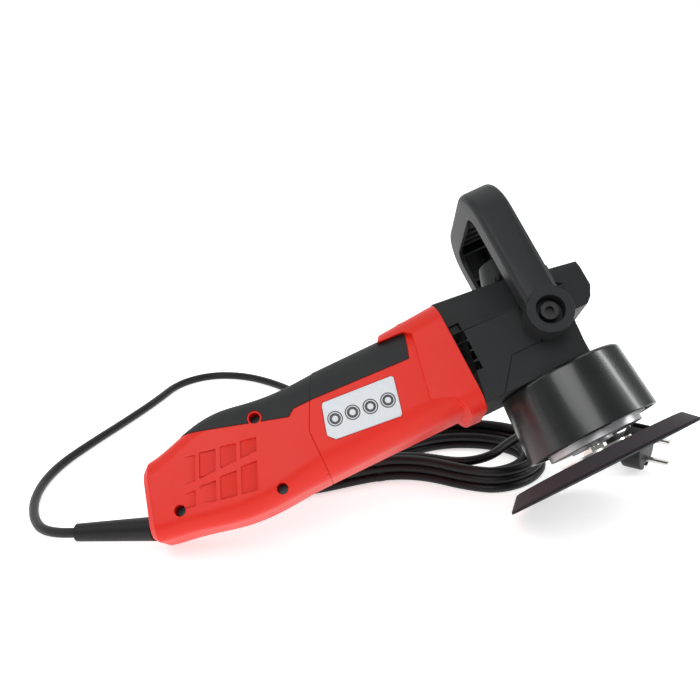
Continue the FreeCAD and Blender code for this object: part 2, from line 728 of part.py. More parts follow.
def rear_shell():
    body = rear_body(0).common(seam_prism(False))
    cavity = rear_body(rear_wall)
    body = body.cut(cavity)
    body = body.cut(rear_skin())
    posts = []
    for x, z in handle_screws:
        posts.append(rod_y(6.2, -34, 34, x, z))
    posts = merge(posts).common(rear_body(rear_wall / 2))
    body = body.fuse(posts)
    for side in (-1, 1):
        for outline in pocket_outlines():
            cut = pocket_solid(outline)
            body = body.cut(cut if side < 0 else mirror_y(cut))
    for x, z in handle_screws:
        body = body.cut(rod_y(well_radius, -60, -16, x, z))
        body = body.cut(rod_y(2.0 + gap, -17, 14, x, z))
    direction = sleeve_tip.sub(sleeve_root)
    start = sleeve_root.sub(V(direction).normalize() * 14)
    body = body.cut(Part.makeCylinder(sleeve_root_radius - 2 + gap, 40, start, direction))
    body = body.cut(Part.makeCone(sleeve_root_radius + gap, sleeve_end_radius + gap, direction.Length,
                                  sleeve_root, direction))
    dial_slot = box(heel_x - 2, dial_x + dial_radius, dial_y - 3.2, dial_y + 3.2,
                    dial_z - dial_radius - 1.5, dial_z + dial_radius + 1.5)
    body = body.cut(dial_slot.common(rod_y(dial_radius + 1.0, -60, 60, dial_x, dial_z)))
    return body.cut(box(switch_x - 8, switch_x + 8, 20, 60, switch_z - 3.1, switch_z + 3.1))


def speed_dial():
    disc = rod_y(dial_radius, dial_y - 2.8, dial_y + 2.8, dial_x, dial_z)
    axle = rod_y(2.0, dial_y - 8, dial_y + 4.5, dial_x, dial_z)
    body = merge([disc, axle])
    for number in range(36):
        angle = math.radians(10 * number)
        notch = rod_y(0.55, dial_y - 4, dial_y + 4, dial_x + dial_radius * math.cos(angle),
                      dial_z + dial_radius * math.sin(angle))
        body = body.cut(notch)
    return body


def speed_board():
    board = box(dial_x - 2, dial_x + 44, dial_y - 10, dial_y - 8.2, dial_z - 17, dial_z + 8)
    pot = rod_y(6.0, dial_y - 8.3, dial_y - 3.4, dial_x + 3, dial_z)
    choke = box(dial_x + 14, dial_x + 40, dial_y - 20, dial_y - 9.9, dial_z - 14, dial_z + 7)
    bore = rod_y(2.0 + running_gap, -20, 30, dial_x, dial_z)
    return merge([board, pot, choke]).cut(bore)


def terminal_block():
    """Stands on the floor of the shell, with three clamping wells in its top."""
    rear_x = heel_x + 50
    body = box(rear_x, rear_x + 26, -20, -6, 70, 100).common(rear_body(rear_wall))
    for number in range(3):
        body = body.cut(rod_z(1.8, 94, 110, rear_x + 5 + 8 * number, -13.0))
    return body


def cord_clamp():
    """A bar across the flex on two posts that stand on the floor of the shell."""
    rear_x = handle_screws[0][0] + 7.5
    bar = box(rear_x, rear_x + 7, -13, 13, 98.5, 102.5)
    posts = [box(rear_x, rear_x + 7, y - 3, y + 3, 70, 98.6) for y in (-10.0, 10.0)]
    return merge([bar] + posts).common(rear_body(rear_wall))


def switch_button():
    x = switch_x - switch_travel / 2
    face = switch_face_y
    cap = box(x - 13, x + 13, face, face + 3.0, switch_z - 7, switch_z + 7)
    cap = cap.makeFillet(2.5, [e for e in cap.Edges if abs(e.tangentAt(e.FirstParameter).y) > 0.9])
    stem = box(x - 4, x + 4, 25.6, face, switch_z - 2.6, switch_z + 2.6)
    ridges = [box(x - 8.7 + 4 * k, x - 7.3 + 4 * k, face + 2.8, face + 3.9, switch_z - 5, switch_z + 5)
              for k in range(5)]
    return merge([cap, stem] + ridges)


def switch_body():
    body = box(switch_x - 15, switch_x + 15, 8, 28.0, switch_z - 9, switch_z + 9)
    groove = box(switch_x - 12, switch_x + 12, 25, 30, switch_z - 3, switch_z + 3)
    return body.cut(groove)


def screws_in_handle():
    made = []
    for x, z in handle_screws:
        made.append(screw((x, -16, z), (0, 1, 0), 28.0, 2.0, 3.5, 2.6))
    return Part.makeCompound(made)


# ---- eccentric, plate ---------------------------------------------------------------------------

def spindle():
    return rod_z(spindle_radius, 56, top_bearing[3] - 0.5).fuse(rod_z(low_bearing[1], 60, low_bearing[3] + 1)).removeSplitter()


def eccentric_bearings():
    outer, shaft = eccentric_bearing
    return Part.makeCompound([ring_z(outer, shaft + running_gap, z, z + 8, -orbit_offset) for z in (19.0, 34.0)])


def carrier():
    cup = rod_z(carrier_radius, carrier_low, carrier_high, -orbit_offset)
    neck = rod_z(12.0, carrier_high - 1, 66)
    body = merge([cup, neck])
    body = body.cut(rod_z(eccentric_bearing[0], carrier_low - 1, carrier_high - 3, -orbit_offset))
    body = body.cut(rod_z(spindle_radius, 56, 60))
    return body.cut(rod_z(low_bearing[1], 60, 67))


def counterweight():
    rim = ring_z(37.0, 4.0, 20.0, 25.0)
    heavy = rod_z(42.0, 25.0, 40.0).common(box(4, 60, -60, 60, 0, 100))
    body = merge([rim.fuse(rod_z(4.5, 20, 25)), heavy])
    return body.cut(rod_z(carrier_radius, 10, 60, -orbit_offset))


def output_spindle():
    across = 17.0
    points = []
    for number in range(7):
        angle = math.radians(60 * number)
        reach = across / math.sqrt(3)
        points.append(V(-orbit_offset + reach * math.cos(angle), reach * math.sin(angle),
                        plate_top_z + hub_disc_thickness))
    flange = Part.Face(Part.makePolygon(points)).extrude(V(0, 0, 3.4))
    shaft = rod_z(eccentric_bearing[1], 16.0, carrier_high - 4.0, -orbit_offset)
    hole = rod_z(4.0, 10, 34, -orbit_offset)
    return merge([flange, shaft]).cut(hole)


def backing_plate():
    body = cone_z(plate_radius, plate_top_radius, hook_thickness, plate_top_z, -orbit_offset)
    return body.cut(rod_z(plate_hole_radius, -1, 20, -orbit_offset))


def hook_face():
    return ring_z(plate_radius, plate_hole_radius, 0, hook_thickness, -orbit_offset)


def hub_disc():
    disc = rod_z(hub_disc_radius, plate_top_z, plate_top_z + hub_disc_thickness, -orbit_offset)
    boss = rod_z(plate_hole_radius, 7.5, plate_top_z, -orbit_offset)
    return merge([disc, boss]).cut(rod_z(4.0, 0, 20, -orbit_offset))


def plate_bolt():
    head = rod_z(6.5, 3.0, 7.5, -orbit_offset).cut(rod_z(3.0, 2, 5.5, -orbit_offset))
    return head.fuse(rod_z(4.0, 7.5, 32, -orbit_offset)).removeSplitter()


def shroud():
    outer = cone_z(shroud_rim_radius, shroud_top_radius, shroud_rim_z, head_bottom_z)
    top_edges = [e for e in outer.Edges if abs(e.BoundBox.ZMin - head_bottom_z) < 0.01 and e.Length > 100]
    outer = outer.makeFillet(3.0, top_edges)
    inner = cone_z(shroud_rim_radius - shroud_wall, shroud_top_radius - shroud_wall, shroud_rim_z - 0.01,
                   head_bottom_z - shroud_wall)
    body = outer.cut(inner).cut(rod_z(shroud_hole_radius, 60, 90))
    for x, y in shroud_screw_places:
        body = body.cut(rod_z(2.0 + gap, 60, 90, x, y))
    return body


def shroud_screws():
    made = []
    for x, y in shroud_screw_places:
        made.append(screw((x, y, head_bottom_z - shroud_wall), (0, 0, 1), 12.0, 2.0, 3.8, 3.0))
    return Part.makeCompound(made)


def sleeve():
    direction = sleeve_tip.sub(sleeve_root)
    length = direction.Length
    body = Part.makeCone(sleeve_root_radius, sleeve_end_radius, length, sleeve_root, direction)
    start = sleeve_root.sub(V(direction).normalize() * 12)
    tail = Part.makeCylinder(sleeve_root_radius - 2, 12, start, direction)
    return merge([body, tail])


# ---- collect ------------------------------------------------------------------------------------
def build():
    shell = rear_shell()
    skin = rear_skin()
    for name, side in (("right", -1), ("left", 1)):
        nodes["rear_handle_" + name] = shell.common(half_space(side))
        nodes["rear_grip_" + name] = skin.common(half_space(side))
    nodes["handle_screws"] = screws_in_handle()
    nodes["motor_housing"] = motor_housing()
    nodes["motor_grip"] = motor_grip()
    nodes["label_plate"] = label_plate()
    nodes["gear_housing"] = gear_housing()
    nodes["bearing_cover"] = bearing_cover()
    nodes["front_handle"] = front_handle()
    nodes["front_handle_bolts"] = handle_bolts()
    nodes["housing_screws"] = housing_screws()
    nodes["cover_screws"] = cover_screws()
    nodes["eccentric_bearings"] = eccentric_bearings()
    nodes["terminal_block"] = terminal_block()
    nodes["cord_clamp"] = cord_clamp()
    nodes["shroud"] = shroud()
    nodes["shroud_screws"] = shroud_screws()
    nodes["crown_gear"] = crown_gear()
    nodes["bevel_pinion"] = bevel_pinion()
    nodes["armature_shaft"] = armature_shaft()
    nodes["armature_core"] = armature_core()
    nodes["armature_windings"] = armature_windings()
    nodes["commutator"] = commutator_ring()
    nodes["cooling_fan"] = cooling_fan()
    nodes["field_core"] = field_core()
    nodes["field_coils"] = field_coils()
    nodes["brush_bracket"] = brush_bracket()
    nodes["brush_holders"] = on_both_sides(brush_holder())
    nodes["carbon_brushes"] = on_both_sides(carbon_brush())
    nodes["brush_springs"] = on_both_sides(brush_spring())
    nodes["top_spindle_bearing"] = bearing(top_bearing, ring_z)
    nodes["low_spindle_bearing"] = bearing(low_bearing, ring_z)
    nodes["front_motor_bearing"] = bearing(front_bearing, ring_x)
    nodes["rear_motor_bearing"] = bearing(rear_bearing, ring_x)
    nodes["spindle"] = spindle()
    nodes["eccentric_carrier"] = carrier()
    nodes["counterweight"] = counterweight()
    nodes["output_spindle"] = output_spindle()
    nodes["backing_plate"] = backing_plate()
    nodes["hook_face"] = hook_face()
    nodes["hub_disc"] = hub_disc()
    nodes["plate_bolt"] = plate_bolt()
    nodes["speed_dial"] = speed_dial()
    nodes["speed_board"] = speed_board()
    nodes["switch_button"] = switch_button()
    nodes["switch_body"] = switch_body()
    nodes["strain_relief"] = sleeve()


# ---- resting pose -------------------------------------------------------------------------------
def up_in_tool(pitch):
    """The world's upward direction seen from the tool, for a lean to the back and a nose-down pitch."""
    back = math.radians(lean)
    return V(math.sin(pitch), -math.cos(pitch) * math.sin(back), math.cos(pitch) * math.cos(back))


def resting_placement():
    """Turns the tool so that its heel and the rim of its plate touch one level surface."""
    heel_points = nodes["rear_handle_left"].tessellate(0.3)[0]
    low, high = math.radians(2), math.radians(40)
    for step in range(40):
        pitch = (low + high) / 2
        up = up_in_tool(pitch)
        heel = min(up.dot(point) for point in heel_points)
        rim = -up.x * orbit_offset - plate_radius * math.hypot(up.x, up.y)
        if heel > rim:
            low = pitch
        else:
            high = pitch
    forward = V(1, 0, 0).sub(up * up.x).normalize()
    aside = up.cross(forward)
    matrix = FreeCAD.Matrix(forward.x, forward.y, forward.z, 0, aside.x, aside.y, aside.z, 0,
                            up.x, up.y, up.z, 0, 0, 0, 0, 1)
    points = []
    for shape in nodes.values():
        points += [matrix.multVec(point) for point in shape.tessellate(0.3)[0]]
    middle_x = (min(p.x for p in points) + max(p.x for p in points)) / 2
    middle_y = (min(p.y for p in points) + max(p.y for p in points)) / 2
    matrix.A14 = -middle_x
    matrix.A24 = -middle_y
    matrix.A34 = -min(p.z for p in points)
    print("resting pose: pitch %.2f" % math.degrees(pitch))
    return FreeCAD.Placement(matrix)


# ---- flex, hank and plug, laid on the surface that the tool rests on ---------------------------

def bend_radius(before, corner, after):
    arriving = corner.sub(before)
    leaving = after.sub(corner)
    half = arriving.getAngle(leaving) / 2
    return 0.45 * min(arriving.Length, leaving.Length) / math.tan(half)


def cord_tube(points, name):
    """A round tube along straight runs that are joined by tangent arcs as large as the runs allow."""
    start = points[0]
    edges = []
    length = 0.0
    radii = []
    for before, corner, after in zip(points, points[1:], points[2:]):
        arriving = corner.sub(before).normalize()
        leaving = after.sub(corner).normalize()
        half = arriving.getAngle(leaving) / 2
        radius = bend_radius(before, corner, after)
        reach = radius * math.tan(half)
        first = corner.sub(arriving * reach)
        last = corner.add(leaving * reach)
        inward = leaving.sub(arriving).normalize()
        middle = corner.add(inward * (radius / math.cos(half) - radius))
        edges.append(Part.LineSegment(start, first).toShape())
        edges.append(Part.Arc(first, middle, last).toShape())
        length += start.distanceToPoint(first) + 2 * half * radius
        radii.append(radius)
        start = last
    edges.append(Part.LineSegment(start, points[-1]).toShape())
    length += start.distanceToPoint(points[-1])
    path = Part.Wire(edges)
    heading = points[1].sub(points[0])
    section = Part.Wire(Part.makeCircle(cord_radius, points[0], heading))
    tube = path.makePipeShell([section], True, True)
    ideal = math.pi * cord_radius ** 2 * length
    print(name, "length %.0f, volume ratio %.3f, radii" % (length, tube.Volume / ideal),
          [round(radius) for radius in radii])
    return tube


def plug_frame(shape):
    shape.rotate(V(0, 0, 0), V(1, 0, 0), plug_roll)
    shape.rotate(V(0, 0, 0), V(0, 0, 1), plug_turn)
    shape.translate(plug_face)
    return shape


def plug_body():
    head = Part.makeCylinder(plug_radius, 17.0, V(-17, 0, 0), V(1, 0, 0))
    rims = [e for e in head.Edges if len(e.Vertexes) == 1]
    head = head.makeFillet(2.0, rims)
    shoulder = Part.makeCone(7.0, 14.0, 10.0, V(-26, 0, 0), V(1, 0, 0))
    neck = Part.makeCone(5.2, 7.0, plug_length - 26, V(-plug_length, 0, 0), V(1, 0, 0))
    body = merge([head, shoulder, neck])
    for side in (-1, 1):
        flat = box(-18, 1, 13.5 if side > 0 else -20, 20 if side > 0 else -13.5, -4, 4)
        body = body.cut(flat)
        body = body.cut(Part.makeCylinder(pin_radius, 10, V(-8, side * pin_spacing / 2, 0), V(1, 0, 0)))
    return plug_frame(body)


def plug_pins():
    pins = []
    for side in (-1, 1):
        pin = Part.makeCylinder(pin_radius, pin_length + 8, V(-8, side * pin_spacing / 2, 0), V(1, 0, 0))
        tip = [e for e in pin.Edges if len(e.Vertexes) == 1 and e.BoundBox.XMin > pin_length - 0.1]
        pins.append(pin.makeFillet(1.2, tip))
    return plug_frame(Part.makeCompound(pins))


def hank_solids():
    curve = Part.BSplineCurve()
    curve.interpolate([V(x, y, 0) for x, y in hank_outline], PeriodicFlag=True)
    bundle = Part.Face(Part.Wire(curve.toShape())).extrude(V(0, 0, hank_height))
    waist = bundle.common(box(tie_x - tie_width / 2, tie_x + tie_width / 2, 0, 200, 0, 60))
    around = waist.BoundBox
    tie = box(tie_x - tie_width / 2, tie_x + tie_width / 2, around.YMin - 1.2, around.YMax + 1.2,
              0, hank_height + 1.2)
    inside = box(tie_x - tie_width, tie_x + tie_width, around.YMin + 0.8, around.YMax - 0.8,
                 1.0, hank_height - 0.8)
    tie = tie.cut(inside)
    return bundle.cut(tie), tie


def lay_cord(tool_place):
    tip = tool_place.multVec(sleeve_tip)
    nodes["cord_lead"] = cord_tube([tip] + [V(*point) for point in lead_points], "lead")
    nodes["cord_hank"], nodes["hank_tie"] = hank_solids()
    body = plug_body()
    back = V(-plug_length, 0, 0)
    end = FreeCAD.Placement(plug_face, FreeCAD.Rotation(V(0, 0, 1), plug_turn)).multVec(back)
    nodes["cord_tail"] = cord_tube([V(*point) for point in tail_points] + [end], "tail")
    nodes["plug_body"] = body
    nodes["plug_pins"] = plug_pins()


build()
place = resting_placement()
for name in nodes:
    nodes[name] = nodes[name].copy()
    nodes[name].Placement = place.multiply(nodes[name].Placement)
lay_cord(place)
os.makedirs("parts", exist_ok=True)
for name, shape in nodes.items():
    if not shape.isValid():
        print("not valid:", name)
    print("%-22s solids %d volume %.0f" % (name, len(shape.Solids), shape.Volume))
    shape.exportStep("parts/" + name + ".step")
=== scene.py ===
import math
import bpy
import bmesh
import numpy as np
from mathutils import Matrix, Vector
import json


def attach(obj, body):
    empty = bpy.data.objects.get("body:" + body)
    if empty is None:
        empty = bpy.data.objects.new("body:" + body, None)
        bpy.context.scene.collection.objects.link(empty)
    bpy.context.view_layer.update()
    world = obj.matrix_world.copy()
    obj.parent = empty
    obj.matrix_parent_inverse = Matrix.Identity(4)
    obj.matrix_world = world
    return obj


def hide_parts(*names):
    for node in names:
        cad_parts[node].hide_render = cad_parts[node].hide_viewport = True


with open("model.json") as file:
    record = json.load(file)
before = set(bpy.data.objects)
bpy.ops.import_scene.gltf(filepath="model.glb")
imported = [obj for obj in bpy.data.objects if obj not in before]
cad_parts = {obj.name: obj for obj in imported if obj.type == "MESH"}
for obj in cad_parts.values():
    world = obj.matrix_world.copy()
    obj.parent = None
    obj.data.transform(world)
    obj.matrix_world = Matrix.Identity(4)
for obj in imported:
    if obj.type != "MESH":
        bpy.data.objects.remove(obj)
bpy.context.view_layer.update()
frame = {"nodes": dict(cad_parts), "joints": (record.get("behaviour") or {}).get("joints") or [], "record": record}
scene = bpy.context.scene

# The tool's own axes, read from its joints: up the spindle, ahead from the handle to the head, and
# across to the far side. tool() turns a place in millimetres along them into the frame, in metres.
joints = {joint["name"]: joint for joint in frame["joints"]}
up = Vector(joints["spindle_spin"]["axis"])
ahead = Vector(joints["motor_spin"]["axis"])
across = up.cross(ahead)
spindle_joint_height = 0.118
tool_zero = Vector(joints["spindle_spin"]["pos_m"]) - up * spindle_joint_height


def tool(x, y, z):
    return tool_zero + (ahead * x + across * y + up * z) / 1000


# ---- Camera --------------------------------------------------------------------------------------
# Stands a little left of the tool and looks down on it from just above the handle.
camera_data = bpy.data.cameras.new("camera")
camera = bpy.data.objects.new("camera", camera_data)
scene.collection.objects.link(camera)
right = Vector((0.96870, -0.24570, -0.03485))
back = Vector((-0.22068, -0.91714, 0.33190))
upward = back.cross(right)
camera.matrix_world = Matrix(((right.x, upward.x, back.x, -0.17006),
                              (right.y, upward.y, back.y, -0.62134),
                              (right.z, upward.z, back.z, 0.36942), (0, 0, 0, 1)))
camera_data.lens = 48.857
camera_data.sensor_width = 36.0
camera_data.clip_start = 0.02
scene.camera = camera

# ---- Flex ----------------------------------------------------------------------------------------
# Round black rubber mains flex, 7.6 mm thick. It leaves the sleeve at the heel, swings round behind
# the tool, is folded there into a tied hank of five and a half turns, and ends in a moulded plug.
flex_diameter = 0.0076
low_z = 3.8
sleeve_end = tool(-375.0, 16.0, 130.5)
lead_points = [(-250, 50, 7.5), (-263, 89, low_z), (-262, 134, low_z), (-246, 179, low_z),
               (-216, 221, low_z), (-184, 262, low_z), (-152, 306, low_z), (-128, 346, low_z),
               (-92, 361, low_z), (-57, 347, low_z), (-30, 315, low_z), (-10, 275, low_z),
               (-4, 230, low_z), (-14, 188, low_z), (-38, 153, low_z), (-70, 133, low_z),
               (-95, 114, low_z)]
# the hank's outline, from its left end along the near side, round the right end and back, and the
# core that its turns close in on
hank_outline = np.array([(-107, 93), (-99, 74), (-80, 66), (-38, 64), (0, 69.5), (19, 70.5), (38, 67),
                         (58, 56),
                         (80, 33), (104, 18), (136, 26), (158, 50), (160, 80), (136, 110), (92, 127),
                         (50, 114), (19, 101), (0, 102), (-38, 116), (-80, 120), (-99, 112)], float)
hank_core = np.array([(-84, 93), (-83, 90), (-78, 88), (-38, 88), (0, 85.7), (19, 85.6), (38, 86), (58, 84),
                      (80, 79), (96, 72), (106, 68), (112, 70), (112, 74), (104, 78), (84, 84),
                      (50, 88), (19, 86), (0, 86), (-38, 92), (-78, 98), (-83, 96)], float)
turn_shares = (1.0, 0.71, 0.70, 0.98, 1.0, 0.72)
turn_layers = (0, 0, 1, 1, 2, 2)
layer_rise = 7.3
last_turn_stop = 9


def hank_turns():
    """Turn after turn: each point is the outline's, drawn towards the core by one minus the turn's
    share, and the share and the height pass to the next turn's over the turn's last third. The last
    turn stops on the near side, short of the right end."""
    places = []
    count = len(hank_outline)
    for turn in range(len(turn_shares)):
        following = min(turn + 1, len(turn_shares) - 1)
        for number in range(count):
            part = min(max((number / count - 0.72) / 0.28, 0.0), 1.0)
            blend = part * part * (3 - 2 * part)
            share = turn_shares[turn] * (1 - blend) + turn_shares[following] * blend
            layer = turn_layers[turn] * (1 - blend) + turn_layers[following] * blend
            place = hank_core[number] + (hank_outline[number] - hank_core[number]) * share
            places.append((place[0], place[1], low_z + 0.1 + layer_rise * layer))
    return places[:(len(turn_shares) - 1) * count + last_turn_stop]


# it leaves the hank over the top of the other turns
tail_points = [(106, 44, 20.5), (128, 57, 25.0), (146, 66, 26.3), (168, 71, 25.5), (188, 67, 21.0)]
plug_turn = math.radians(-50.0)
plug_back = (237.0 - 42.0 * math.cos(plug_turn), 21.0 - 42.0 * math.sin(plug_turn), 19.4)
route = [tuple(sleeve_end * 1000)] + lead_points + hank_turns() + tail_points + [plug_back]
flex_curve = bpy.data.curves.new("flex", "CURVE")
flex_curve.dimensions = "3D"
flex_curve.bevel_depth = 1.0
flex_curve.bevel_resolution = 5
flex_curve.resolution_u = 8
flex_curve.use_fill_caps = True
spline = flex_curve.splines.new("NURBS")
spline.points.add(len(route) - 1)
for point, place in zip(spline.points, route):
    point.co = (place[0] / 1000, place[1] / 1000, place[2] / 1000, 1.0)
    point.radius = flex_diameter / 2
spline.order_u = 3
spline.use_endpoint_u = True
flex = bpy.data.objects.new("flex", flex_curve)
scene.collection.objects.link(flex)
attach(flex, "housing")
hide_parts("cord_lead", "cord_hank", "cord_tail")


# ---- Finishes that more than one piece shares ----------------------------------------------------
def new_material(name):
    material = bpy.data.materials.new(name)
    material.use_nodes = True
    nodes = material.node_tree.nodes
    return material, nodes, material.node_tree.links, nodes["Principled BSDF"]


def grain_group():
    """Moulded grain: a fine stipple for the bump, a slow mottle for the colour and the gloss."""
    group = bpy.data.node_groups.new("moulded_grain", "ShaderNodeTree")
    group.interface.new_socket("Stipple per metre", in_out="INPUT", socket_type="NodeSocketFloat")
    group.interface.new_socket("Light colour", in_out="INPUT", socket_type="NodeSocketColor")
    group.interface.new_socket("Dark colour", in_out="INPUT", socket_type="NodeSocketColor")
    group.interface.new_socket("Low gloss", in_out="INPUT", socket_type="NodeSocketFloat")
    group.interface.new_socket("High gloss", in_out="INPUT", socket_type="NodeSocketFloat")
    group.interface.new_socket("Colour", in_out="OUTPUT", socket_type="NodeSocketColor")
    group.interface.new_socket("Roughness", in_out="OUTPUT", socket_type="NodeSocketFloat")
    group.interface.new_socket("Height", in_out="OUTPUT", socket_type="NodeSocketFloat")
    nodes, links = group.nodes, group.links
    inward = nodes.new("NodeGroupInput")
    outward = nodes.new("NodeGroupOutput")
    places = nodes.new("ShaderNodeTexCoord")
    stipple = nodes.new("ShaderNodeTexVoronoi")
    stipple.feature = "SMOOTH_F1"
    links.new(places.outputs["Object"], stipple.inputs["Vector"])
    links.new(inward.outputs["Stipple per metre"], stipple.inputs["Scale"])
    mottle = nodes.new("ShaderNodeTexNoise")
    mottle.inputs["Scale"].default_value = 38.0
    mottle.inputs["Detail"].default_value = 5.0
    links.new(places.outputs["Object"], mottle.inputs["Vector"])
    scuffs = nodes.new("ShaderNodeTexNoise")
    scuffs.inputs["Scale"].default_value = 9.0
    scuffs.inputs["Detail"].default_value = 8.0
    scuffs.inputs["Roughness"].default_value = 0.7
    links.new(places.outputs["Object"], scuffs.inputs["Vector"])
    mix = nodes.new("ShaderNodeMix")
    mix.data_type = "RGBA"
    links.new(mottle.outputs["Fac"], mix.inputs["Factor"])
    links.new(inward.outputs["Dark colour"], mix.inputs[6])
    links.new(inward.outputs["Light colour"], mix.inputs[7])
    links.new(mix.outputs[2], outward.inputs["Colour"])
    gloss = nodes.new("ShaderNodeMapRange")
    gloss.inputs["From Min"].default_value = 0.35
    gloss.inputs["From Max"].default_value = 0.65
    links.new(scuffs.outputs["Fac"], gloss.inputs["Value"])
    links.new(inward.outputs["Low gloss"], gloss.inputs["To Min"])
    links.new(inward.outputs["High gloss"], gloss.inputs["To Max"])
    links.new(gloss.outputs["Result"], outward.inputs["Roughness"])
    links.new(stipple.outputs["Distance"], outward.inputs["Height"])
    return group


moulded_grain = grain_group()


def moulded(name, light, dark, stipple, roughness, bump, coat=0.0, metallic=0.0):
    """A moulded, painted or cast finish: mottled colour, uneven gloss and a fine stipple."""
    material, nodes, links, shader = new_material(name)
    grain = nodes.new("ShaderNodeGroup")
    grain.node_tree = moulded_grain
    grain.inputs["Stipple per metre"].default_value = stipple
    grain.inputs["Light colour"].default_value = (*light, 1)
    grain.inputs["Dark colour"].default_value = (*dark, 1)
    grain.inputs["Low gloss"].default_value = roughness[0]
    grain.inputs["High gloss"].default_value = roughness[1]
    links.new(grain.outputs["Colour"], shader.inputs["Base Color"])
    links.new(grain.outputs["Roughness"], shader.inputs["Roughness"])
    relief = nodes.new("ShaderNodeBump")
    relief.inputs["Strength"].default_value = bump
    relief.inputs["Distance"].default_value = 0.0002
    links.new(grain.outputs["Height"], relief.inputs["Height"])
    links.new(relief.outputs["Normal"], shader.inputs["Normal"])
    shader.inputs["Coat Weight"].default_value = coat
    shader.inputs["Coat Roughness"].default_value = 0.12
    shader.inputs["Metallic"].default_value = metallic
    return material


red = moulded("red_nylon", (0.74, 0.021, 0.009), (0.69, 0.018, 0.008), 2400.0, (0.38, 0.48), 0.16)
grip_rubber = moulded("grip_rubber", (0.024, 0.025, 0.025), (0.018, 0.019, 0.020), 1500.0, (0.60, 0.72), 0.5)
head_paint = moulded("head_paint", (0.014, 0.015, 0.016), (0.011, 0.012, 0.013), 1900.0, (0.42, 0.54), 0.25)
handle_nylon = moulded("handle_nylon", (0.018, 0.019, 0.020), (0.014, 0.015, 0.016), 2100.0,
                       (0.42, 0.52), 0.22)
shroud_gloss = moulded("shroud_gloss", (0.008, 0.009, 0.009), (0.006, 0.007, 0.007), 900.0,
                       (0.26, 0.34), 0.03, coat=0.25)
flex_rubber = moulded("flex_rubber", (0.007, 0.007, 0.008), (0.005, 0.005, 0.006), 1800.0, (0.38, 0.5), 0.15)
plug_rubber = moulded("plug_rubber", (0.008, 0.008, 0.009), (0.006, 0.006, 0.007), 1800.0, (0.40, 0.54), 0.2)
plate_foam = moulded("plate_foam", (0.040, 0.031, 0.036), (0.030, 0.024, 0.028), 3000.0, (0.6, 0.72), 0.5)
hook_pile = moulded("hook_pile", (0.020, 0.018, 0.022), (0.006, 0.006, 0.008), 700.0, (0.8, 0.95), 1.0)
for dull in (red, grip_rubber, head_paint, handle_nylon, flex_rubber, plug_rubber, plate_foam, hook_pile):
    dull.node_tree.nodes["Principled BSDF"].inputs["Specular IOR Level"].default_value = 0.30
black_trim = moulded("black_trim", (0.026, 0.027, 0.029), (0.020, 0.021, 0.022), 2000.0, (0.42, 0.55), 0.2)
graphite = moulded("graphite", (0.030, 0.030, 0.030), (0.02, 0.02, 0.02), 2500.0, (0.5, 0.65), 0.3)
board_green = moulded("board_green", (0.035, 0.15, 0.06), (0.028, 0.12, 0.05), 1200.0, (0.35, 0.5), 0.1)


def metal(name, light, dark, roughness, stretch, metallic=1.0):
    """Turned or ground metal: fine lines drawn out along one axis in the colour, gloss and bump."""
    material, nodes, links, shader = new_material(name)
    places = nodes.new("ShaderNodeTexCoord")
    shift = nodes.new("ShaderNodeMapping")
    shift.inputs["Scale"].default_value = stretch
    lines = nodes.new("ShaderNodeTexNoise")
    lines.inputs["Scale"].default_value = 60.0
    lines.inputs["Detail"].default_value = 6.0
    ramp = nodes.new("ShaderNodeMix")
    ramp.data_type = "RGBA"
    ramp.inputs[6].default_value = (*dark, 1)
    ramp.inputs[7].default_value = (*light, 1)
    gloss = nodes.new("ShaderNodeMapRange")
    gloss.inputs["To Min"].default_value = roughness[0]
    gloss.inputs["To Max"].default_value = roughness[1]
    relief = nodes.new("ShaderNodeBump")
    relief.inputs["Strength"].default_value = 0.15
    relief.inputs["Distance"].default_value = 0.0001
    links.new(places.outputs["Object"], shift.inputs["Vector"])
    links.new(shift.outputs["Vector"], lines.inputs["Vector"])
    links.new(lines.outputs["Fac"], ramp.inputs["Factor"])
    links.new(lines.outputs["Fac"], gloss.inputs["Value"])
    links.new(lines.outputs["Fac"], relief.inputs["Height"])
    links.new(ramp.outputs[2], shader.inputs["Base Color"])
    links.new(gloss.outputs["Result"], shader.inputs["Roughness"])
    links.new(relief.outputs["Normal"], shader.inputs["Normal"])
    shader.inputs["Metallic"].default_value = metallic
    return material


steel = metal("machined_steel", (0.46, 0.46, 0.47), (0.34, 0.34, 0.35), (0.22, 0.36), (1, 1, 14))
bright = metal("plated_steel", (0.80, 0.79, 0.74), (0.66, 0.65, 0.61), (0.14, 0.24), (1, 1, 10))
blackened = metal("blackened_steel", (0.05, 0.05, 0.052), (0.03, 0.03, 0.032), (0.3, 0.45), (4, 4, 4), 0.6)
alloy = metal("light_alloy", (0.56, 0.56, 0.57), (0.44, 0.44, 0.45), (0.32, 0.46), (6, 6, 6))
laminated = metal("laminations", (0.34, 0.35, 0.37), (0.22, 0.23, 0.25), (0.35, 0.5), (30, 1, 1))
copper = metal("copper_wire", (0.70, 0.30, 0.14), (0.46, 0.18, 0.08), (0.28, 0.42), (24, 24, 2))

# ---- Label ---------------------------------------------------------------------------------------
# Silvery printed foil, stuck in a shallow recess of the motor housing, with a row of four plain
# round marks: a dark disc with a pale ring and a pale spot in it.
label_face, label_nodes, label_links, label_shader = new_material("label_foil")
mark_places = [tool(-168.0, -35.2, 114.2), tool(-154.8, -35.2, 112.9), tool(-141.6, -35.2, 111.1),
               tool(-128.3, -35.2, 109.7)]
mark_radius = 0.0056
mark_ring = (0.0041, 0.0047)
mark_spot = 0.0022
label_places = label_nodes.new("ShaderNodeTexCoord")


def label_math(operation, first, second):
    node = label_nodes.new("ShaderNodeMath")
    node.operation = operation
    for socket, value in zip(node.inputs, (first, second)):
        if isinstance(value, float):
            socket.default_value = value
        else:
            label_links.new(value, socket)
    return node.outputs[0]


